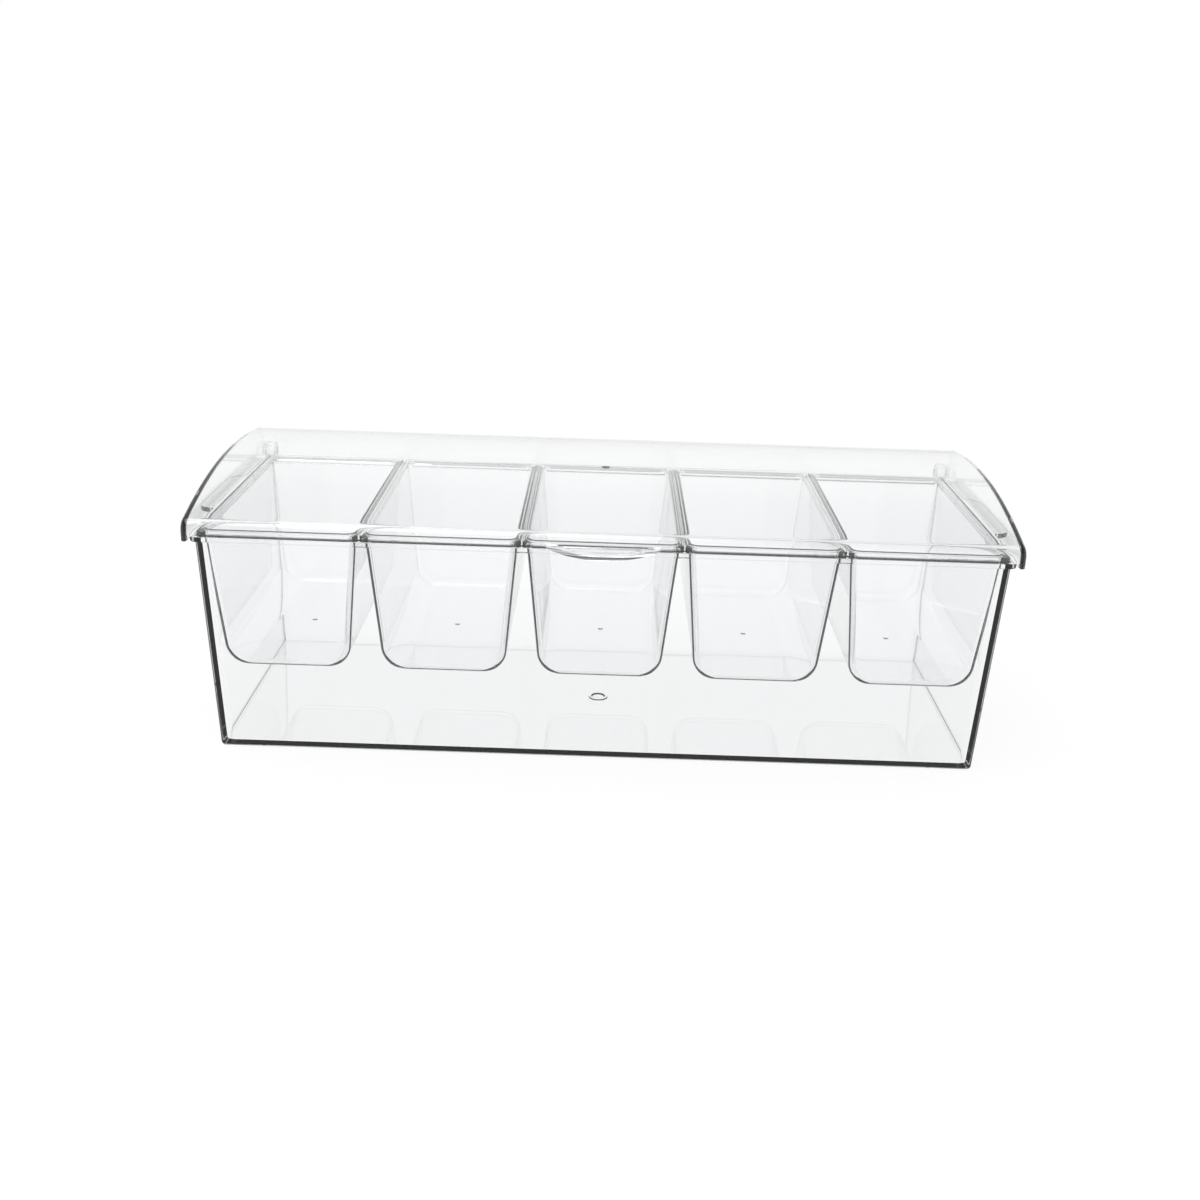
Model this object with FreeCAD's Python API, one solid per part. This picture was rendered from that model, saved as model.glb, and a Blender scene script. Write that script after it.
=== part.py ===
import FreeCAD, Part
import os
from math import acos, atan2, cos, radians, sin, sqrt, tan

# Clear moulded server for chilled food: an ice tray, five lift-out cups and a hinged crowned lid.
# Millimetres. X runs along the tray, Y to the back, Z up. The origin is on the table, under the middle.

# Cups
cup_count = 5
cup_opening_length = 71.7
cup_opening_depth = 140.0
cup_inside_height = 72.2
cup_wall = 1.6
cup_draft = 5.3
cup_floor_round = 10.0
cup_edge_round = 2.0
cup_lip_side = 3.35
cup_lip_end = 4.6
cup_flange_thickness = 1.8
cup_flange_corner = 2.5
cup_spacing_gap = 0.3
cup_lip_round = 0.7

# Tray
tray_height = 115.0
tray_wall = 2.3
tray_floor = 3.2
tray_draft = 2.3
tray_corner = 3.6
tray_bottom_round = 3.0
tray_inside_corner = 1.6
tray_inside_round = 1.2
cup_end_clearance = 0.5
cup_front_clearance = 1.3
rim_thickness = 2.4
rim_overhang = 2.0
rim_step = 0.3
rim_corner = 5.0
rim_cove = 1.6

# Grip lips on the tray's two ends
grip_width = 66.0
grip_reach = 11.0
grip_corner = 9.0
grip_edge_round = 0.8

# Lid
lid_wall = 2.4
lid_rise = 22.5
crown_fall = 15.5
crown_shift = 22.0
lid_shoulder_round = 6.5
lid_end_round = 2.5
lid_cup_gap = 1.9
lid_rest_gap = 0.2
cheek_thickness = 3.0
cheek_gap = 0.6
cheek_drop = 2.4
grip_relief = 1.0
grip_relief_height = 0.4

# Finger tab on the lid's front
tab_width = 55.0
tab_thickness = 2.4
tab_slope = 10.0
tab_clearance = 0.6
tab_root = 1.2
tab_edge_round = 0.8

# Hinge at the back corners
knuckle_radius = 5.2
knuckle_gap = 0.8
knuckle_thickness = 4.5
hinge_rise = 2.0
ear_root_radius = 6.5
ear_root_reach = 15.0
ear_root_rise = 2.5
pin_radius = 2.0
pin_clearance = 0.05
pin_head_radius = 3.6
pin_head_thickness = 1.8
pin_head_gap = 0.15
pin_head_round = 0.6

# Sizes that follow from the ones above
cup_flange_length = cup_opening_length + 2 * cup_lip_side
cup_flange_depth = cup_opening_depth + 2 * cup_lip_end
cup_pitch = cup_flange_length + cup_spacing_gap
cup_row_length = cup_count * cup_pitch - cup_spacing_gap
cup_top = tray_height + cup_flange_thickness
cup_inside_floor = cup_top - cup_inside_height
cup_underside = cup_inside_floor - cup_wall

tray_inside_length = cup_row_length - 2 * (cup_lip_side - cup_wall - cup_end_clearance)
tray_inside_depth = cup_opening_depth + 2 * (cup_wall + cup_front_clearance)
lid_depth = cup_flange_depth + 2 * (lid_cup_gap + lid_wall)
rim_length = tray_inside_length + 2 * (tray_wall + rim_overhang)
rim_depth = lid_depth + 2 * rim_step
rim_underside = tray_height - rim_thickness

lid_inside_length = rim_length + 2 * cheek_gap
lid_length = lid_inside_length + 2 * cheek_thickness
lid_bottom = tray_height + lid_rest_gap
lid_top = tray_height + lid_rise
cheek_bottom = tray_height - cheek_drop
crown_reach = lid_depth / 2 + crown_shift
crown_radius = (crown_reach ** 2 + crown_fall ** 2) / (2 * crown_fall)

hinge_y = lid_depth / 2 + knuckle_gap + knuckle_radius
hinge_z = tray_height + hinge_rise
back_reach = hinge_y + knuckle_radius
tab_reach = back_reach - lid_depth / 2
cut_margin = 5.0


def vector(x, y, z):
    return FreeCAD.Vector(x, y, z)


def rounded_rectangle(length, depth, corner, z):
    """Closed outline, centred on the Z axis, with four round corners."""
    x = length / 2
    y = depth / 2
    bow = corner * (1 - sqrt(0.5))
    edges = []
    for turn in range(4):
        along, across = (x, y) if turn % 2 == 0 else (y, x)
        start = vector(along, -across + corner, z)
        end = vector(along, across - corner, z)
        middle = vector(along - bow, across - bow, z)
        finish = vector(along - corner, across, z)
        side = Part.LineSegment(start, end).toShape()
        bend = Part.Arc(end, middle, finish).toShape()
        for edge in (side, bend):
            edge.rotate(vector(0, 0, 0), vector(0, 0, 1), 90 * turn)
            edges.append(edge)
    return Part.Wire(edges)


def drafted_block(length, depth, low, high, draft):
    """Solid with flat leaning walls and sharp corners; length and depth are those at the upper height."""
    lean = (high - low) * tan(radians(draft))
    x = length / 2
    y = depth / 2
    block = Part.makeWedge(lean - x, low, lean - y, -y, -x, x - lean, high, y - lean, y, x)
    block.rotate(vector(0, 0, 0), vector(1, 0, 0), 90)
    return block


def flat_block(length, depth, corner, low, high):
    """Upright plate or block with round corners."""
    outline = rounded_rectangle(length, depth, corner, low)
    return Part.Face(outline).extrude(vector(0, 0, high - low))


def edges_at_height(shape, z, tolerance=1e-4):
    """Edges that lie flat at one height."""
    found = []
    for edge in shape.Edges:
        box = edge.BoundBox
        if abs(box.ZMin - z) < tolerance and abs(box.ZMax - z) < tolerance:
            found.append(edge)
    return found


def upright_edges(shape):
    """Edges that run from the bottom of a shape to its top."""
    height = shape.BoundBox.ZLength
    return [edge for edge in shape.Edges if edge.BoundBox.ZLength > height / 2]


def edges_within(edges, length, depth):
    """Those of some edges that lie wholly inside a rectangle centred on the Z axis."""
    found = []
    for edge in edges:
        box = edge.BoundBox
        inside_length = max(box.XMax, -box.XMin) < length / 2
        inside_depth = max(box.YMax, -box.YMin) < depth / 2
        if inside_length and inside_depth:
            found.append(edge)
    return found


def box_between(low, high):
    """Plain box from its lowest to its highest corner."""
    size = high - low
    return Part.makeBox(size.x, size.y, size.z, low)


def mirrored(shape):
    """The same shape at the other end of the tray."""
    return shape.mirror(vector(0, 0, 0), vector(1, 0, 0))


def round_cup_block(block, floor, floor_round, edge_round):
    """Wide rounding along the floor's two side edges, then a small one round the front and back walls."""
    side_edges = [edge for edge in edges_at_height(block, floor) if edge.BoundBox.YLength > edge.BoundBox.XLength]
    block = block.makeFillet(floor_round, side_edges)
    top_edges = edges_at_height(block, cup_top)
    wall_edges = []
    for face in block.Faces:
        if face.BoundBox.YLength < block.BoundBox.YLength / 2 and face.BoundBox.ZLength > floor_round:
            wall_edges += [edge for edge in face.Edges if not any(edge.isSame(top) for top in top_edges)]
    return block.makeFillet(edge_round, wall_edges)


def make_cup():
    """One food cup, at the middle of the row: a drafted shell with a flange that hangs on the rim."""
    outside = drafted_block(
        cup_opening_length + 2 * cup_wall,
        cup_opening_depth + 2 * cup_wall,
        cup_underside,
        cup_top,
        cup_draft,
    )
    outside = round_cup_block(outside, cup_underside, cup_floor_round + cup_wall, cup_edge_round + cup_wall)
    flange = flat_block(cup_flange_length, cup_flange_depth, cup_flange_corner, tray_height, cup_top)
    inside = drafted_block(cup_opening_length, cup_opening_depth, cup_inside_floor, cup_top, cup_draft)
    inside = round_cup_block(inside, cup_inside_floor, cup_floor_round, cup_edge_round)
    cup = outside.fuse(flange).cut(inside).removeSplitter()
    return cup.makeFillet(cup_lip_round, edges_at_height(cup, cup_top))


def make_grip_lip():
    """Grip lip on the right end: a flat tongue with round outer corners, level with the rim."""
    root = rim_length / 2 - rim_corner
    tip = rim_length / 2 + grip_reach
    tongue = flat_block(2 * (tip - root), grip_width, grip_corner, rim_underside, tray_height)
    tongue.translate(vector(root, 0, 0))
    tongue = tongue.makeFillet(grip_edge_round, edges_at_height(tongue, rim_underside))
    inner_half = box_between(
        vector(root - tip, -grip_width, rim_underside - cut_margin),
        vector(root, grip_width, tray_height + cut_margin),
    )
    return tongue.cut(inner_half)


def make_knuckle():
    """Hinge knuckle at the right back corner: a round eye on a neck that grows out of the rim."""
    outer = rim_length / 2
    inner = outer - knuckle_thickness
    centre = vector(inner, hinge_y, hinge_z)
    eye = Part.makeCylinder(knuckle_radius, knuckle_thickness, centre, vector(1, 0, 0))
    neck = box_between(
        vector(inner, tray_inside_depth / 2 + tray_wall, rim_underside),
        vector(outer, hinge_y, tray_height),
    )
    return eye.fuse(neck)


def pin_bore(radius):
    """Long cutter on the hinge axis, through both ends of the part."""
    length = lid_length + 2 * cut_margin
    return Part.makeCylinder(radius, length, vector(-length / 2, hinge_y, hinge_z), vector(1, 0, 0))


def make_tray():
    """Ice tray: drafted walls and floor, a flat rim flange, two grip lips and two hinge knuckles."""
    outside = drafted_block(
        tray_inside_length + 2 * tray_wall,
        tray_inside_depth + 2 * tray_wall,
        0,
        tray_height,
        tray_draft,
    )
    outside = outside.makeFillet(tray_corner, upright_edges(outside))
    outside = outside.makeFillet(tray_bottom_round, edges_at_height(outside, 0))
    inside = drafted_block(tray_inside_length, tray_inside_depth, tray_floor, tray_height, tray_draft)
    inside = inside.makeFillet(tray_inside_corner, upright_edges(inside))
    inside = inside.makeFillet(tray_inside_round, edges_at_height(inside, tray_floor))
    flange = flat_block(rim_length, rim_depth, rim_corner, rim_underside, tray_height)
    body = outside.fuse(flange)
    under_rim = edges_at_height(body, rim_underside)
    corner_under_rim = edges_within(under_rim, rim_length - rim_overhang, rim_depth - rim_overhang)
    body = body.makeFillet(rim_cove, corner_under_rim)
    lip = make_grip_lip()
    knuckle = make_knuckle()
    for addition in (lip, mirrored(lip), knuckle, mirrored(knuckle)):
        body = body.fuse(addition)
    return body.cut(inside).cut(pin_bore(pin_radius)).removeSplitter()


def crown_height(y, radius):
    """Height of the lid's crown above the table at one place across the tray."""
    centre = lid_top - crown_radius
    return centre + sqrt(radius ** 2 - (y - crown_shift) ** 2)


def lid_block(length, depth, bottom, radius, shoulder):
    """Solid under the crown: the lid's cross-section drawn out along the tray, with round shoulders."""
    start = -length / 2
    front = -depth / 2
    back = depth / 2
    front_low = vector(start, front, bottom)
    front_high = vector(start, front, crown_height(front, radius))
    ridge = vector(start, crown_shift, crown_height(crown_shift, radius))
    back_high = vector(start, back, crown_height(back, radius))
    back_low = vector(start, back, bottom)
    outline = Part.Wire([
        Part.LineSegment(front_low, front_high).toShape(),
        Part.Arc(front_high, ridge, back_high).toShape(),
        Part.LineSegment(back_high, back_low).toShape(),
        Part.LineSegment(back_low, front_low).toShape(),
    ])
    block = Part.Face(outline).extrude(vector(length, 0, 0))
    shoulders = edges_at_height(block, front_high.z) + edges_at_height(block, back_high.z)
    return block.makeFillet(shoulder, shoulders)


def tapered_link(first, first_radius, second, second_radius, thickness):
    """Plate between two round ends of unlike size, drawn in the YZ plane and thickened along X."""
    gap = second - first
    lean = atan2(gap.z, gap.y)
    spread = acos((first_radius - second_radius) / gap.Length)
    corners = []
    for centre, radius, side in (
        (first, first_radius, 1),
        (second, second_radius, 1),
        (second, second_radius, -1),
        (first, first_radius, -1),
    ):
        angle = lean + side * spread
        corners.append(centre + vector(0, radius * cos(angle), radius * sin(angle)))
    plate = Part.Face(Part.makePolygon(corners + corners[:1])).extrude(vector(thickness, 0, 0))
    for centre, radius in ((first, first_radius), (second, second_radius)):
        plate = plate.fuse(Part.makeCylinder(radius, thickness, centre, vector(1, 0, 0)))
    return plate.removeSplitter()


def make_ear():
    """Hinge ear at the right back corner, in line with the lid's cheek."""
    inner = lid_inside_length / 2
    root = vector(inner, hinge_y - ear_root_reach, hinge_z + ear_root_rise)
    eye = vector(inner, hinge_y, hinge_z)
    return tapered_link(root, ear_root_radius, eye, knuckle_radius, cheek_thickness)


def make_tab():
    """Half-moon finger tab on the lid's front, sloping down to its edge."""
    front = -lid_depth / 2
    root = front + tab_root
    chord = tab_width / 2
    underside = tray_height + tab_clearance
    arc = Part.Arc(
        vector(-chord, front, underside),
        vector(0, front - tab_reach, underside),
        vector(chord, front, underside),
    )
    outline = Part.Wire([
        arc.toShape(),
        Part.LineSegment(vector(chord, front, underside), vector(chord, root, underside)).toShape(),
        Part.LineSegment(vector(chord, root, underside), vector(-chord, root, underside)).toShape(),
        Part.LineSegment(vector(-chord, root, underside), vector(-chord, front, underside)).toShape(),
    ])
    tab = Part.Face(outline).extrude(vector(0, 0, tab_thickness))
    rim = []
    for edge in tab.Edges:
        box = edge.BoundBox
        if box.YMin < front - tab_reach / 2 and box.ZMax - box.ZMin < tab_thickness / 2:
            rim.append(edge)
    tab = tab.makeFillet(tab_edge_round, rim)
    tab.rotate(vector(0, root, underside), vector(1, 0, 0), tab_slope)
    return tab


def make_lid():
    """Crowned cover: one moulding with skirts, end cheeks, hinge ears and the finger tab."""
    outer = lid_block(lid_length, lid_depth, cheek_bottom, crown_radius, lid_shoulder_round)
    ends = []
    for edge in outer.Edges:
        box = edge.BoundBox
        at_end = box.XMax - box.XMin < lid_wall / 2
        if at_end and box.ZMax > cheek_bottom + lid_wall:
            ends.append(edge)
    outer = outer.makeFillet(lid_end_round, ends)
    ear = make_ear()
    outer = outer.fuse(ear).fuse(mirrored(ear))
    hollow = lid_block(
        lid_inside_length,
        lid_depth - 2 * lid_wall,
        cheek_bottom - cut_margin,
        crown_radius - lid_wall,
        lid_shoulder_round - lid_wall,
    )
    below_skirts = box_between(
        vector(-lid_inside_length / 2, -back_reach, cheek_bottom - cut_margin),
        vector(lid_inside_length / 2, back_reach, lid_bottom),
    )
    relief_width = grip_width + 2 * grip_relief
    relief = box_between(
        vector(-lid_length, -relief_width / 2, cheek_bottom - cut_margin),
        vector(lid_length, relief_width / 2, tray_height + grip_relief_height),
    )
    lid = outer.cut(hollow).cut(below_skirts).cut(relief)
    lid = lid.fuse(make_tab()).cut(pin_bore(pin_radius + pin_clearance))
    return lid.removeSplitter()


def make_pin():
    """Hinge pin at the right end: a plain shank pressed into the knuckle, with a low round head."""
    start = rim_length / 2 - knuckle_thickness
    head_start = lid_length / 2 + pin_head_gap
    along = vector(1, 0, 0)
    shank = Part.makeCylinder(pin_radius, head_start - start, vector(start, hinge_y, hinge_z), along)
    head_centre = vector(head_start, hinge_y, hinge_z)
    head = Part.makeCylinder(pin_head_radius, pin_head_thickness, head_centre, along)
    outer_face = head_start + pin_head_thickness
    crown_edges = []
    for edge in head.Edges:
        if edge.BoundBox.XMin > outer_face - pin_head_gap:
            crown_edges.append(edge)
    head = head.makeFillet(pin_head_round, crown_edges)
    return shank.fuse(head).removeSplitter()


def save(shape, node):
    """Write one piece to its own file."""
    shape.exportStep("parts/" + node + ".step")
    print(node, "solids", len(shape.Solids), "volume", round(shape.Volume), "valid", shape.isValid())


os.makedirs("parts", exist_ok=True)

save(make_tray(), "tray")

cup = make_cup()
for number in range(1, cup_count + 1):
    placed = cup.copy()
    placed.translate(vector((number - (cup_count + 1) / 2) * cup_pitch, 0, 0))
    save(placed, "cup_" + str(number))

save(make_lid(), "lid")

pin = make_pin()
save(pin, "hinge_pin_right")
save(mirrored(pin), "hinge_pin_left")
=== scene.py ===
# Clear server for chilled food: an ice tray, five lift-out cups and a hinged crowned lid,
# closed and empty on a white table. Lengths are in metres, in the frame of the solids.
import math

import bmesh
import bpy
from mathutils import Matrix, Vector


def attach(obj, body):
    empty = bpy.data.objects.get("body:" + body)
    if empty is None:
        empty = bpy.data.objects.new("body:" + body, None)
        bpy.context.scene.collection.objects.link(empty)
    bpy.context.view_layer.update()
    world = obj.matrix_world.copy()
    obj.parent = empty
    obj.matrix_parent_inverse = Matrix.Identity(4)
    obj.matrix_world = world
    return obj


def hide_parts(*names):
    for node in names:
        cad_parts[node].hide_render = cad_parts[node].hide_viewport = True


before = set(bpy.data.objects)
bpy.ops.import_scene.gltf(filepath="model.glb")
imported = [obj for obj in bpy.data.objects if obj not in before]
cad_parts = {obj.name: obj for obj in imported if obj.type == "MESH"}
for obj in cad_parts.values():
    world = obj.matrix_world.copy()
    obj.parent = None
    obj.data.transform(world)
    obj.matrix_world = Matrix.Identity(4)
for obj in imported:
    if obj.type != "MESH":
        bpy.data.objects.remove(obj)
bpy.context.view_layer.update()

# The ice tray is one clear injection moulding with leaning walls and a thick floor.
# A flat flange runs round its rim, with a grip lip at each end and a hinge knuckle at each back corner.
# The ring in the middle of the floor is where the plastic was fed into the mould.
mm = 0.001
tray_height = 115.0 * mm
tray_wall = 2.3 * mm
tray_floor = 3.2 * mm
tray_lean = math.tan(math.radians(2.3))
tray_inside_length = 390.7 * mm
tray_inside_depth = 145.8 * mm
tray_corner = 2.0 * mm
tray_inside_corner = 4.5 * mm
foot_round = 2.0 * mm
floor_edge_round = 0.7 * mm
rim_cove = 1.6 * mm
rim_length = 399.3 * mm
rim_depth = 158.4 * mm
rim_thickness = 2.4 * mm
rim_corner = 5.0 * mm
grip_width = 66.0 * mm
grip_reach = 11.0 * mm
grip_corner = 9.0 * mm
hinge_y = 84.9 * mm
hinge_z = 117.0 * mm
knuckle_radius = 5.2 * mm
knuckle_thickness = 4.5 * mm
feed_ring_radius = 5.6 * mm
feed_ring_height = 0.6 * mm
feed_dimple_radius = 3.2 * mm
eased_edge = 0.4 * mm


def add_outline(mesh, length, depth, corner, height, steps=7):
    """Lay one closed outline with round corners level at a height, and give its edges."""
    made = bmesh.ops.create_grid(mesh, x_segments=1, y_segments=1, size=0.5)
    bmesh.ops.scale(mesh, vec=(length, depth, 1), verts=made["verts"])
    bmesh.ops.translate(mesh, vec=(0, 0, height), verts=made["verts"])
    older = set(mesh.faces) - set(made["verts"][0].link_faces)
    bmesh.ops.bevel(
        mesh, geom=made["verts"], offset=corner, offset_type="OFFSET", affect="VERTICES",
        segments=steps, profile=0.5, material=-1,
    )
    sheet = next(face for face in mesh.faces if face not in older)
    edges = list(sheet.edges)
    bmesh.ops.delete(mesh, geom=[sheet], context="FACES_ONLY")
    return edges


def skin_outlines(mesh, outlines):
    """Join outlines, from the outer floor up and over the rim to the inner floor.

    They are drawn apart in their order while they are joined,
    so that outlines at one height pair up rightly.
    """
    rings = [list({vert for edge in outline for vert in edge.verts}) for outline in outlines]
    for place, ring in enumerate(rings):
        bmesh.ops.translate(mesh, vec=(0, 0, 0.5 * place), verts=ring)
    for lower, upper in zip(outlines, outlines[1:]):
        bmesh.ops.bridge_loops(mesh, edges=lower + upper)
    for place, ring in enumerate(rings):
        bmesh.ops.translate(mesh, vec=(0, 0, -0.5 * place), verts=ring)


def round_edges(mesh, edges, radius, steps):
    """Roll a rounding along edges that the mould has rounded."""
    bmesh.ops.bevel(
        mesh, geom=[edge for edge in edges if edge.is_valid], offset=radius, offset_type="OFFSET",
        affect="EDGES", segments=steps, profile=0.5, clamp_overlap=True, material=-1,
    )


def make_piece(mesh, name):
    """Turn a finished bmesh into an object with smooth faces."""
    bmesh.ops.remove_doubles(mesh, verts=mesh.verts, dist=1e-6)
    bmesh.ops.recalc_face_normals(mesh, faces=mesh.faces)
    for face in mesh.faces:
        face.smooth = True
    data = bpy.data.meshes.new(name)
    mesh.to_mesh(data)
    mesh.free()
    piece = bpy.data.objects.new(name, data)
    bpy.context.scene.collection.objects.link(piece)
    return piece


def merge_shapes(piece, joined, cut):
    """Weld shapes onto a piece and cut others out of it, as one moulding."""
    for tools, operation in ((joined, "UNION"), (cut, "DIFFERENCE")):
        for tool in tools:
            weld = piece.modifiers.new(tool.name, "BOOLEAN")
            weld.operation = operation
            weld.solver = "EXACT"
            weld.object = tool
    whole = piece.evaluated_get(bpy.context.evaluated_depsgraph_get())
    data = bpy.data.meshes.new_from_object(whole)
    piece.modifiers.clear()
    piece.data = data
    for tool in joined + cut:
        bpy.data.objects.remove(tool)
    data.shade_smooth()


def ease_edges(piece, radius):
    """Round the remaining sharp edges a little, as a mould does."""
    ease = piece.modifiers.new("eased_edges", "BEVEL")
    ease.width = radius
    ease.segments = 2
    ease.limit_method = "ANGLE"
    ease.angle_limit = math.radians(40)
    ease.use_clamp_overlap = True


def keep_flats(piece):
    """Shade rounded edges softly and keep the flats flat."""
    flats = piece.modifiers.new("flat_faces", "WEIGHTED_NORMAL")
    flats.mode = "FACE_AREA"
    flats.weight = 90
    flats.keep_sharp = True


def wall_outline(mesh, length, depth, corner, height):
    """Outline of a tray wall that leans out towards the rim."""
    lean = 2 * (tray_height - height) * tray_lean
    return add_outline(mesh, length - lean, depth - lean, corner, height)


mesh = bmesh.new()
outer_length = tray_inside_length + 2 * tray_wall
outer_depth = tray_inside_depth + 2 * tray_wall
rim_underside = tray_height - rim_thickness
foot = wall_outline(mesh, outer_length, outer_depth, tray_corner, 0)
under_rim = wall_outline(mesh, outer_length, outer_depth, tray_corner, rim_underside)
rim_low = add_outline(mesh, rim_length, rim_depth, rim_corner, rim_underside)
rim_high = add_outline(mesh, rim_length, rim_depth, rim_corner, tray_height)
mouth = wall_outline(mesh, tray_inside_length, tray_inside_depth, tray_inside_corner, tray_height)
floor_edge = wall_outline(mesh, tray_inside_length, tray_inside_depth, tray_inside_corner, tray_floor)
skin_outlines(mesh, [foot, under_rim, rim_low, rim_high, mouth, floor_edge])
bmesh.ops.contextual_create(mesh, geom=foot)
bmesh.ops.contextual_create(mesh, geom=floor_edge)
round_edges(mesh, foot, foot_round, 6)
round_edges(mesh, under_rim, rim_cove, 4)
round_edges(mesh, floor_edge, floor_edge_round, 4)


def faces_at_end(mesh, end):
    """Faces that lie square to the length at one end."""
    return [face for face in mesh.faces if abs(face.calc_center_median().x - end) < 1e-6]


def split_faces(mesh, faces, y):
    """Part faces along a line across the length."""
    geometry = faces + list({edge for face in faces for edge in face.edges})
    geometry += list({vert for face in faces for vert in face.verts})
    bmesh.ops.bisect_plane(mesh, geom=geometry, plane_co=(0, y, 0), plane_no=(0, 1, 0))


for side in (-1, 1):
    for y in (-grip_width / 2, grip_width / 2):
        split_faces(mesh, faces_at_end(mesh, side * rim_length / 2), y)
    rim_end = faces_at_end(mesh, side * rim_length / 2)
    tongue = [face for face in rim_end if abs(face.calc_center_median().y) < grip_width / 4]
    grown = bmesh.ops.extrude_face_region(mesh, geom=tongue)["geom"]
    bmesh.ops.delete(mesh, geom=tongue, context="FACES_ONLY")
    tip = [part for part in grown if isinstance(part, bmesh.types.BMVert)]
    bmesh.ops.translate(mesh, vec=(side * grip_reach, 0, 0), verts=tip)
    corners = [
        edge for edge in {edge for vert in tip for edge in vert.link_edges}
        if all(vert in tip for vert in edge.verts) and abs(edge.verts[0].co.y - edge.verts[1].co.y) < 1e-6
    ]
    round_edges(mesh, corners, grip_corner, 8)
tray = make_piece(mesh, "ice_tray")


def make_plate(name, centre, radius, neck, x_low, x_high):
    """A round hinge plate with a neck, drawn in the YZ plane and thickened along X."""
    mesh = bmesh.new()
    turn = Matrix.Translation((x_low, centre[0], centre[1])) @ Matrix.Rotation(math.radians(90), 4, "Y")
    bmesh.ops.create_circle(mesh, cap_ends=True, segments=40, radius=radius, matrix=turn)
    grown = bmesh.ops.extrude_face_region(mesh, geom=mesh.faces[:])["geom"]
    tip = [part for part in grown if isinstance(part, bmesh.types.BMVert)]
    bmesh.ops.translate(mesh, vec=(x_high - x_low, 0, 0), verts=tip)
    plate = make_piece(mesh, name)
    mesh = bmesh.new()
    low, high = neck
    made = bmesh.ops.create_cube(mesh, size=1)
    bmesh.ops.scale(mesh, vec=(x_high - x_low, high[0] - low[0], high[1] - low[1]), verts=made["verts"])
    middle = ((x_low + x_high) / 2, (low[0] + high[0]) / 2, (low[1] + high[1]) / 2)
    bmesh.ops.translate(mesh, vec=middle, verts=made["verts"])
    return plate, make_piece(mesh, name + "_neck")


knuckles = []
for side in (-1, 1):
    ends = sorted((side * rim_length / 2, side * (rim_length / 2 - knuckle_thickness)))
    neck = ((outer_depth / 2, rim_underside), (hinge_y, tray_height))
    knuckles += make_plate("knuckle_%d" % side, (hinge_y, hinge_z), knuckle_radius, neck, *ends)


def make_feed_mark(name, place, radius, slope, low, high):
    """A low round boss or dimple, left where the plastic was fed into the mould."""
    mesh = bmesh.new()
    turn = Matrix.Translation((place[0], place[1], (low + high) / 2))
    bmesh.ops.create_cone(
        mesh, cap_ends=True, segments=40, radius1=radius, radius2=radius + slope,
        depth=high - low, matrix=turn,
    )
    return make_piece(mesh, name)


feed_ring = make_feed_mark(
    "feed_ring", (0, 0), feed_ring_radius, -0.5 * mm,
    tray_floor - feed_ring_height, tray_floor + feed_ring_height,
)
feed_dimple = make_feed_mark(
    "feed_dimple", (0, 0), feed_dimple_radius, 1.0 * mm, tray_floor - 0.1 * mm, tray_floor + 0.9 * mm
)
merge_shapes(tray, knuckles + [feed_ring], [feed_dimple])
ease_edges(tray, eased_edge)
keep_flats(tray)


def moulded_finish():
    """Shader group for moulded plastic: long shallow waves in the surface and faint haze."""
    group = bpy.data.node_groups.new("moulded_finish", "ShaderNodeTree")
    group.interface.new_socket("Wave Size", in_out="INPUT", socket_type="NodeSocketFloat")
    group.interface.new_socket("Haze", in_out="INPUT", socket_type="NodeSocketFloat")
    group.interface.new_socket("Roughness", in_out="OUTPUT", socket_type="NodeSocketFloat")
    group.interface.new_socket("Height", in_out="OUTPUT", socket_type="NodeSocketFloat")
    nodes, links = group.nodes, group.links
    inputs = nodes.new("NodeGroupInput")
    outputs = nodes.new("NodeGroupOutput")
    place = nodes.new("ShaderNodeTexCoord")
    waves = nodes.new("ShaderNodeTexNoise")
    waves.inputs["Detail"].default_value = 1.0
    links.new(place.outputs["Object"], waves.inputs["Vector"])
    links.new(inputs.outputs["Wave Size"], waves.inputs["Scale"])
    cloud = nodes.new("ShaderNodeTexNoise")
    cloud.inputs["Scale"].default_value = 35.0
    cloud.inputs["Detail"].default_value = 3.0
    links.new(place.outputs["Object"], cloud.inputs["Vector"])
    haze = nodes.new("ShaderNodeMath")
    haze.operation = "MULTIPLY"
    links.new(cloud.outputs["Fac"], haze.inputs[0])
    links.new(inputs.outputs["Haze"], haze.inputs[1])
    links.new(haze.outputs["Value"], outputs.inputs["Roughness"])
    links.new(waves.outputs["Fac"], outputs.inputs["Height"])
    return group


finish_group = moulded_finish()


def clear_plastic(name, wave_size, haze, wave_depth):
    """Clear colourless plastic with a faint cool tint in its thickness."""
    material = bpy.data.materials.new(name)
    material.use_nodes = True
    nodes, links = material.node_tree.nodes, material.node_tree.links
    shader = nodes["Principled BSDF"]
    shader.inputs["Base Color"].default_value = (0.985, 0.99, 0.992, 1)
    shader.inputs["Metallic"].default_value = 0.0
    shader.inputs["IOR"].default_value = 1.5
    shader.inputs["Transmission Weight"].default_value = 1.0
    surface = nodes.new("ShaderNodeGroup")
    surface.node_tree = finish_group
    surface.inputs["Wave Size"].default_value = wave_size
    surface.inputs["Haze"].default_value = haze
    relief = nodes.new("ShaderNodeBump")
    relief.inputs["Strength"].default_value = 0.2
    relief.inputs["Distance"].default_value = wave_depth
    links.new(surface.outputs["Height"], relief.inputs["Height"])
    links.new(relief.outputs["Normal"], shader.inputs["Normal"])
    links.new(surface.outputs["Roughness"], shader.inputs["Roughness"])
    depth = nodes.new("ShaderNodeVolumeAbsorption")
    depth.inputs["Color"].default_value = (0.10, 0.16, 0.20, 1)
    depth.inputs["Density"].default_value = 2.0
    links.new(depth.outputs["Volume"], nodes["Material Output"].inputs["Volume"])
    return material


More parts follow.
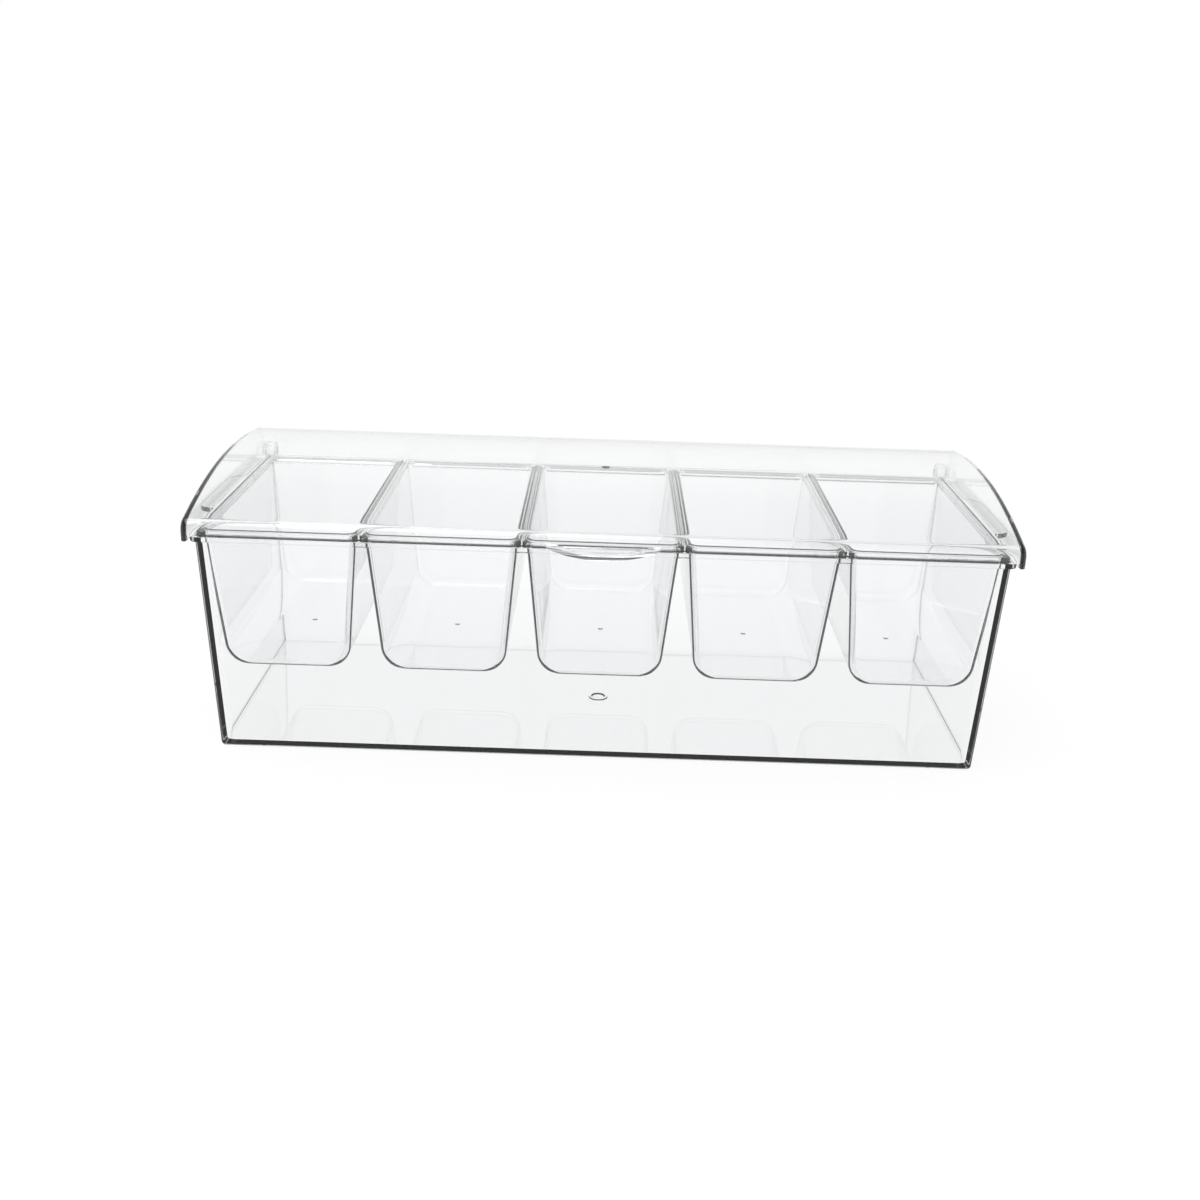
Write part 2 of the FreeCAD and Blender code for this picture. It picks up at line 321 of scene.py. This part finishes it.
tray.data.materials.clear()
tray.data.materials.append(clear_plastic("clear_tray_plastic", 14.0, 0.03, 0.0004))
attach(tray, "tray")
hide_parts("tray")

# Five equal food cups, each a thin clear moulding. The side walls run into the floor in a wide curve,
# and the front and back walls close the trough with small round edges.
# A flat flange round the opening hangs on the tray's rim, and the feed mark is a pip on the floor's middle.
cup_pitch = 78.7 * mm
cup_opening_length = 71.7 * mm
cup_opening_depth = 140.0 * mm
cup_wall = 1.6 * mm
cup_lean = math.tan(math.radians(5.3))
cup_top = 116.8 * mm
cup_inside_floor = 44.6 * mm
cup_underside = 43.0 * mm
cup_floor_round = 10.0 * mm
cup_edge_round = 2.0 * mm
cup_end_round = 2.4 * mm
cup_mouth_corner = 4.5 * mm
cup_flange_length = 78.4 * mm
cup_flange_depth = 149.2 * mm
cup_flange_corner = 2.5 * mm
flange_low_round = 0.2 * mm
flange_high_round = 0.5 * mm
cup_lip_round = 1.5 * mm
feed_pip_radius = 1.7 * mm
feed_pip_height = 0.5 * mm


def cup_outline(mesh, grow, height, side_inset, end_inset, corner):
    """Outline of a cup wall that leans out towards the opening, drawn in near the floor."""
    lean = (cup_top - height) * cup_lean
    length = cup_opening_length + 2 * (grow - lean - side_inset)
    depth = cup_opening_depth + 2 * (grow - lean - end_inset)
    return add_outline(mesh, length, depth, corner, height, steps=5)


def cup_trough(mesh, grow, floor, top):
    """Outlines of a cup's trough from its floor up to a height."""
    floor_round = cup_floor_round + grow
    edge_round = cup_edge_round + grow / 2
    end_round = cup_end_round + grow
    outlines = []
    for step in range(13):
        turn = math.radians(90 * step / 12)
        rise = floor_round * (1 - math.cos(turn))
        side_inset = floor_round * (1 - math.sin(turn))
        short = max(end_round - rise, 0)
        end_inset = end_round - math.sqrt(end_round ** 2 - short ** 2)
        outlines.append(cup_outline(mesh, grow, floor + rise, side_inset, end_inset, edge_round))
    neck = top - cup_mouth_corner
    outlines.append(cup_outline(mesh, grow, neck, 0, 0, edge_round))
    for step in (1, 2, 3, 4):
        share = step / 4
        corner = edge_round + (cup_mouth_corner - cup_edge_round) * (1 - math.sqrt(1 - share ** 2))
        outlines.append(cup_outline(mesh, grow, neck + share * (top - neck), 0, 0, corner))
    return outlines


cup_plastic = clear_plastic("clear_cup_plastic", 22.0, 0.02, 0.0003)
for number in range(1, 6):
    mesh = bmesh.new()
    outside = cup_trough(mesh, cup_wall, cup_underside, tray_height)
    flange = (cup_flange_length, cup_flange_depth, cup_flange_corner)
    flange_low = add_outline(mesh, *flange, tray_height, steps=5)
    flange_high = add_outline(mesh, *flange, cup_top, steps=5)
    inside = cup_trough(mesh, 0, cup_inside_floor, cup_top)
    skin_outlines(mesh, outside + [flange_low, flange_high] + inside[::-1])
    bmesh.ops.contextual_create(mesh, geom=outside[0])
    bmesh.ops.contextual_create(mesh, geom=inside[0])
    round_edges(mesh, flange_low, flange_low_round, 2)
    round_edges(mesh, flange_high, flange_high_round, 3)
    round_edges(mesh, inside[-1], cup_lip_round, 6)
    bmesh.ops.translate(mesh, vec=((number - 3) * cup_pitch, 0, 0), verts=mesh.verts)
    cup = make_piece(mesh, "food_cup_%d" % number)
    pip = make_feed_mark(
        "feed_pip", ((number - 3) * cup_pitch, 0), feed_pip_radius, -0.4 * mm,
        cup_inside_floor - feed_pip_height, cup_inside_floor + feed_pip_height,
    )
    merge_shapes(cup, [pip], [])
    keep_flats(cup)
    cup.data.materials.append(cup_plastic)
    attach(cup, "cup_%d" % number)
    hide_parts("cup_%d" % number)

# The lid is one thin clear moulding: a low crown that peaks behind the middle, short skirts at front
# and back, and flat cheeks outside the tray's rim. A half-moon finger tab with a dished top stands out
# at the front, an ear behind each cheek takes the hinge pin, and the feed mark is a pip under the crown.
lid_length = 406.5 * mm
lid_depth = 157.8 * mm
lid_wall = 2.4 * mm
lid_bottom = 115.2 * mm
lid_top = 137.5 * mm
crown_shift = 22.0 * mm
crown_fall = 15.5 * mm
shoulder = 6.5 * mm
cheek_bottom = 112.6 * mm
cheek_thickness = 3.0 * mm
lid_end_round = 2.5 * mm
relief_width = 68.0 * mm
crown_reach = lid_depth / 2 + crown_shift
crown_radius = (crown_reach ** 2 + crown_fall ** 2) / (2 * crown_fall)
crown_centre = Vector((0, crown_shift, lid_top - crown_radius))

mesh = bmesh.new()
start = mesh.verts.new((-lid_length / 2, -lid_depth / 2, lid_bottom))
bends = []
for side in (-1, 1):
    y = side * (lid_depth / 2 - shoulder)
    rise = math.sqrt((crown_radius - shoulder) ** 2 - (y - crown_shift) ** 2)
    bends.append(Vector((0, y, crown_centre.z + rise)))
headings = [math.atan2(bend.z - crown_centre.z, bend.y - crown_centre.y) for bend in bends]


def spin_on(mesh, vert, centre, angle, steps):
    """Carry a profile on along an arc and give its last point."""
    made = bmesh.ops.spin(
        mesh, geom=[vert], cent=centre, axis=(1, 0, 0), dvec=(0, 0, 0), angle=angle, steps=steps,
        use_duplicate=False,
    )
    return next(part for part in made["geom_last"] if isinstance(part, bmesh.types.BMVert))


def draw_on(mesh, vert, place):
    """Carry a profile on along a straight line and give its last point."""
    made = bmesh.ops.extrude_vert_indiv(mesh, verts=[vert])
    made["verts"][0].co = place
    return made["verts"][0]


point = draw_on(mesh, start, (start.co.x, start.co.y, bends[0].z))
point = spin_on(mesh, point, bends[0], headings[0] - math.pi, 6)
point = spin_on(mesh, point, crown_centre, headings[1] - headings[0], 48)
point = spin_on(mesh, point, bends[1], -headings[1], 6)
last = draw_on(mesh, point, (start.co.x, lid_depth / 2, lid_bottom))
profile = mesh.edges[:]
grown = bmesh.ops.extrude_edge_only(mesh, edges=profile)["geom"]
far = [part for part in grown if isinstance(part, bmesh.types.BMVert)]
bmesh.ops.translate(mesh, vec=(lid_length, 0, 0), verts=far)
end_edges = []
for side in (-1, 1):
    end = side * lid_length / 2
    edges = [edge for edge in mesh.edges if all(abs(vert.co.x - end) < 1e-7 for vert in edge.verts)]
    end_verts = {vert for edge in edges for vert in edge.verts}
    feet = [vert for vert in end_verts if abs(vert.co.z - lid_bottom) < 1e-7]
    closing = mesh.edges.new(feet)
    bmesh.ops.contextual_create(mesh, geom=edges + [closing])
    end_edges += edges
round_edges(mesh, end_edges, lid_end_round, 5)
for y in (-relief_width / 2, relief_width / 2):
    split_faces(mesh, faces_at_end(mesh, -lid_length / 2) + faces_at_end(mesh, lid_length / 2), y)
drop_edges = []
for edge in mesh.edges:
    middle = (edge.verts[0].co + edge.verts[1].co) / 2
    at_foot = abs(middle.z - lid_bottom) < 1e-6 and edge.is_boundary
    if at_foot and abs(middle.x) > lid_length / 2 - lid_end_round and abs(middle.y) > relief_width / 2:
        drop_edges.append(edge)
grown = bmesh.ops.extrude_edge_only(mesh, edges=drop_edges)["geom"]
lowest = [part for part in grown if isinstance(part, bmesh.types.BMVert)]
bmesh.ops.translate(mesh, vec=(0, 0, cheek_bottom - lid_bottom), verts=lowest)
bmesh.ops.recalc_face_normals(mesh, faces=mesh.faces)
if max(mesh.faces, key=lambda face: face.calc_center_median().z).normal.z < 0:
    bmesh.ops.reverse_faces(mesh, faces=mesh.faces)
data = bpy.data.meshes.new("crowned_lid")
mesh.to_mesh(data)
mesh.free()
lid = bpy.data.objects.new("crowned_lid", data)
bpy.context.scene.collection.objects.link(lid)
shell = lid.modifiers.new("shell", "SOLIDIFY")
shell.thickness = lid_wall
shell.offset = -1
shell.use_even_offset = True
merge_shapes(lid, [], [])
for vert in lid.data.vertices:
    if abs(abs(vert.co.x) - (lid_length / 2 - lid_wall)) < 0.05 * mm:
        vert.co.x = math.copysign(lid_length / 2 - cheek_thickness, vert.co.x)

tab_width = 55.0 * mm
tab_reach = 11.2 * mm
tab_thickness = 2.4 * mm
tab_root = 1.2 * mm
tab_slope = 10.0
tab_dish = 1.1 * mm
tab_border = 3.0 * mm
tab_dish_back = 0.5 * mm
tab_clearance = 0.6 * mm
lid_pip_radius = 2.2 * mm
lid_pip_height = 1.4 * mm
front = -lid_depth / 2
mesh = bmesh.new()
tab_radius = ((tab_width / 2) ** 2 + tab_reach ** 2) / (2 * tab_reach)
half_turn = math.asin(tab_width / 2 / tab_radius)
underside = tray_height + tab_clearance
corner = mesh.verts.new((-tab_width / 2, front, underside))
made = bmesh.ops.spin(
    mesh, geom=[corner], cent=(0, front - tab_reach + tab_radius, 0), axis=(0, 0, 1), dvec=(0, 0, 0),
    angle=2 * half_turn, steps=40, use_duplicate=False,
)
far_corner = next(part for part in made["geom_last"] if isinstance(part, bmesh.types.BMVert))
near_root = draw_on(mesh, corner, (-tab_width / 2, front + tab_root, underside))
far_root = draw_on(mesh, far_corner, (tab_width / 2, front + tab_root, underside))
mesh.edges.new((near_root, far_root))
bmesh.ops.contextual_create(mesh, geom=mesh.edges[:])
grown = bmesh.ops.extrude_face_region(mesh, geom=mesh.faces[:])["geom"]
tab_upper = [part for part in grown if isinstance(part, bmesh.types.BMVert)]
bmesh.ops.translate(mesh, vec=(0, 0, tab_thickness), verts=tab_upper)
tab_turn = Matrix.Rotation(math.radians(tab_slope), 3, "X")
bmesh.ops.rotate(mesh, cent=(0, front + tab_root, underside), matrix=tab_turn, verts=mesh.verts)
tab = make_piece(mesh, "finger_tab")
mesh = bmesh.new()
dish_radius = tab_radius - tab_border
dish_centre = front - tab_reach + tab_radius
dish_back = front - tab_dish_back
dish_half = math.sqrt(dish_radius ** 2 - (dish_centre - dish_back) ** 2)
corner = mesh.verts.new((-dish_half, dish_back, underside + tab_thickness - tab_dish))
made = bmesh.ops.spin(
    mesh, geom=[corner], cent=(0, dish_centre, 0), axis=(0, 0, 1), dvec=(0, 0, 0),
    angle=2 * math.asin(dish_half / dish_radius), steps=32, use_duplicate=False,
)
far_corner = next(part for part in made["geom_last"] if isinstance(part, bmesh.types.BMVert))
mesh.edges.new((corner, far_corner))
bmesh.ops.contextual_create(mesh, geom=mesh.edges[:])
grown = bmesh.ops.extrude_face_region(mesh, geom=mesh.faces[:])["geom"]
dish_upper = [part for part in grown if isinstance(part, bmesh.types.BMVert)]
bmesh.ops.translate(mesh, vec=(0, 0, 3 * tab_dish), verts=dish_upper)
bmesh.ops.rotate(mesh, cent=(0, front + tab_root, underside), matrix=tab_turn, verts=mesh.verts)
tab_scoop = make_piece(mesh, "tab_scoop")
pin_hole_radius = 2.05 * mm
ear_reach = 12 * mm
ear_depth = 1.6 * mm
ears = []
pin_holes = []
for side in (-1, 1):
    ear_outside = lid_length / 2 - 0.02 * mm
    ear_inside = lid_length / 2 - cheek_thickness + 0.02 * mm
    ends = sorted((side * ear_outside, side * ear_inside))
    neck = ((hinge_y - ear_reach, hinge_z - ear_depth), (hinge_y, hinge_z + knuckle_radius))
    ears += make_plate("ear_%d" % side, (hinge_y, hinge_z), knuckle_radius, neck, *ends)
    mesh = bmesh.new()
    place = Matrix.Translation((side * lid_length / 2, hinge_y, hinge_z))
    turn = place @ Matrix.Rotation(math.radians(90), 4, "Y")
    bmesh.ops.create_cone(
        mesh, cap_ends=True, segments=32, radius1=pin_hole_radius, radius2=pin_hole_radius,
        depth=12 * mm, matrix=turn,
    )
    pin_holes.append(make_piece(mesh, "pin_hole_%d" % side))
merge_shapes(lid, [tab] + ears, pin_holes)
ease_edges(lid, eased_edge)
lid_pip_top = lid_top - crown_shift ** 2 / (2 * crown_radius) - lid_wall + 0.5 * mm
lid_pip = make_feed_mark(
    "lid_pip", (0, 0), lid_pip_radius, 0.4 * mm, lid_pip_top - lid_pip_height, lid_pip_top
)
merge_shapes(lid, [lid_pip], [tab_scoop])
keep_flats(lid)
lid.data.materials.clear()
lid.data.materials.append(clear_plastic("clear_lid_plastic", 10.0, 0.02, 0.0004))
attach(lid, "lid")
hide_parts("lid")

# Two short hinge pins with low round heads, pressed into the tray's knuckles from outside.
# Each is turned from the same clear plastic.
pin_plastic = clear_plastic("clear_pin_plastic", 60.0, 0.05, 0.0002)
pin_radius = 1.95 * mm
pin_head_radius = 3.6 * mm
pin_inner = rim_length / 2 - knuckle_thickness + 0.2 * mm
pin_head = lid_length / 2 + 0.15 * mm
pin_tip = pin_head + 1.8 * mm
pin_steps = (
    (pin_inner, pin_radius), (pin_head, pin_radius), (pin_head, pin_head_radius),
    (pin_tip - 0.6 * mm, pin_head_radius), (pin_tip - 0.2 * mm, 3.4 * mm),
    (pin_tip, 2.9 * mm), (pin_tip, 0),
)
for side, name in ((-1, "hinge_pin_left"), (1, "hinge_pin_right")):
    mesh = bmesh.new()
    point = mesh.verts.new((side * pin_inner, hinge_y, hinge_z))
    for x, radius in pin_steps:
        point = draw_on(mesh, point, (side * x, hinge_y, hinge_z + radius))
    bmesh.ops.spin(
        mesh, geom=mesh.verts[:] + mesh.edges[:], cent=(0, hinge_y, hinge_z), axis=(1, 0, 0),
        dvec=(0, 0, 0), angle=2 * math.pi, steps=36, use_merge=True, use_duplicate=False,
    )
    pin = make_piece(mesh, name.replace("hinge", "lid"))
    ease_edges(pin, 0.1 * mm)
    keep_flats(pin)
    pin.data.materials.append(pin_plastic)
    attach(pin, "tray")
    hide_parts(name)

# The white painted table that the server stands on.
# It is white to the eye and through the plastic, keeps part of the server's shadow,
# and fades for light that was mirrored many times inside the plastic.
mesh = bmesh.new()
bmesh.ops.create_grid(mesh, x_segments=8, y_segments=8, size=6.0)
bmesh.ops.translate(mesh, vec=(0, 0, -0.0002), verts=mesh.verts)
table = make_piece(mesh, "white_table")
paint = bpy.data.materials.new("white_table_paint")
paint.use_nodes = True
nodes, links = paint.node_tree.nodes, paint.node_tree.links
coat = nodes["Principled BSDF"]
coat.inputs["Base Color"].default_value = (0.97, 0.97, 0.97, 1)
coat.inputs["Roughness"].default_value = 0.9
coat.inputs["Specular IOR Level"].default_value = 0.0
glow = nodes.new("ShaderNodeEmission")
glow.inputs["Color"].default_value = (1, 1, 1, 1)
path = nodes.new("ShaderNodeLightPath")
seen = nodes.new("ShaderNodeMath")
seen.operation = "MAXIMUM"
links.new(path.outputs["Is Camera Ray"], seen.inputs[0])
links.new(path.outputs["Is Glossy Ray"], seen.inputs[1])
seen_through = nodes.new("ShaderNodeMath")
seen_through.operation = "MAXIMUM"
links.new(seen.outputs["Value"], seen_through.inputs[0])
links.new(path.outputs["Is Transmission Ray"], seen_through.inputs[1])
share = nodes.new("ShaderNodeMath")
share.operation = "MULTIPLY"
share.inputs[1].default_value = 0.9
links.new(seen_through.outputs["Value"], share.inputs[0])
turns = nodes.new("ShaderNodeMath")
turns.operation = "POWER"
turns.inputs[1].default_value = 2.0
links.new(path.outputs["Glossy Depth"], turns.inputs[0])
fade = nodes.new("ShaderNodeMath")
fade.operation = "MULTIPLY_ADD"
fade.inputs[1].default_value = -0.04
fade.inputs[2].default_value = 1.0
fade.use_clamp = True
links.new(turns.outputs["Value"], fade.inputs[0])
links.new(fade.outputs["Value"], glow.inputs["Strength"])
mix = nodes.new("ShaderNodeMixShader")
links.new(share.outputs["Value"], mix.inputs["Fac"])
links.new(coat.outputs["BSDF"], mix.inputs[1])
links.new(glow.outputs["Emission"], mix.inputs[2])
links.new(mix.outputs["Shader"], nodes["Material Output"].inputs["Surface"])
table.data.materials.append(paint)

# The soft light of a plain white studio: white walls, a darker ceiling that only the plastic mirrors,
# and one wide softbox overhead.
world = bpy.data.worlds.new("studio")
bpy.context.scene.world = world
world.use_nodes = True
nodes, links = world.node_tree.nodes, world.node_tree.links
sky = nodes["Background"]
path = nodes.new("ShaderNodeLightPath")
place = nodes.new("ShaderNodeTexCoord")
split = nodes.new("ShaderNodeSeparateXYZ")
links.new(place.outputs["Generated"], split.inputs["Vector"])
shade = nodes.new("ShaderNodeValToRGB")
shade.color_ramp.elements[0].position = 0.5
shade.color_ramp.elements[0].color = (1, 1, 1, 1)
shade.color_ramp.elements[1].position = 0.85
shade.color_ramp.elements[1].color = (0.45, 0.45, 0.46, 1)
links.new(split.outputs["Z"], shade.inputs["Fac"])
mix = nodes.new("ShaderNodeMix")
mix.data_type = "RGBA"
mix.inputs["A"].default_value = (1, 1, 1, 1)
links.new(shade.outputs["Color"], mix.inputs["B"])
turned = nodes.new("ShaderNodeMath")
turned.operation = "MAXIMUM"
links.new(path.outputs["Is Glossy Ray"], turned.inputs[0])
links.new(path.outputs["Is Transmission Ray"], turned.inputs[1])
links.new(turned.outputs["Value"], mix.inputs["Factor"])
links.new(mix.outputs["Result"], sky.inputs["Color"])
turns = nodes.new("ShaderNodeMath")
turns.operation = "POWER"
turns.inputs[1].default_value = 2.0
links.new(path.outputs["Glossy Depth"], turns.inputs[0])
fade = nodes.new("ShaderNodeMath")
fade.operation = "MULTIPLY_ADD"
fade.inputs[1].default_value = -0.04
fade.inputs[2].default_value = 1.0
fade.use_clamp = True
links.new(turns.outputs["Value"], fade.inputs[0])
links.new(fade.outputs["Value"], sky.inputs["Strength"])

lamp_data = bpy.data.lights.new("overhead_softbox", "AREA")
lamp_data.shape = "RECTANGLE"
lamp_data.size = 1.6
lamp_data.size_y = 1.0
lamp_data.energy = 12.0
lamp = bpy.data.objects.new("overhead_softbox", lamp_data)
lamp.location = (-0.5, -0.3, 1.7)
aim = Vector((0, 0, 0.1)) - Vector(lamp.location)
lamp.rotation_euler = aim.to_track_quat("-Z", "Y").to_euler()
bpy.context.scene.collection.objects.link(lamp)

# The camera stands at a seated person's height, square to the front,
# with the slight tilt of a hand-held view. Light may turn many times, as the mouldings stand in layers.
photo_width = 1200
focal_pixels = 1347.9
camera_pitch = math.radians(90 - 20.243)
camera_roll = math.radians(1.91)
camera_data = bpy.data.cameras.new("camera")
camera_data.sensor_width = 36.0
camera_data.lens = camera_data.sensor_width * focal_pixels / photo_width
camera = bpy.data.objects.new("camera", camera_data)
camera.location = (-0.0007, -0.6933, 0.3164)
camera.rotation_euler = (
    Matrix.Rotation(camera_pitch, 4, "X") @ Matrix.Rotation(camera_roll, 4, "Z")
).to_euler()
bpy.context.scene.collection.objects.link(camera)
bpy.context.scene.camera = camera
bpy.context.scene.view_settings.view_transform = "Standard"
bpy.context.scene.cycles.max_bounces = 40
bpy.context.scene.cycles.transmission_bounces = 40
bpy.context.scene.cycles.glossy_bounces = 6
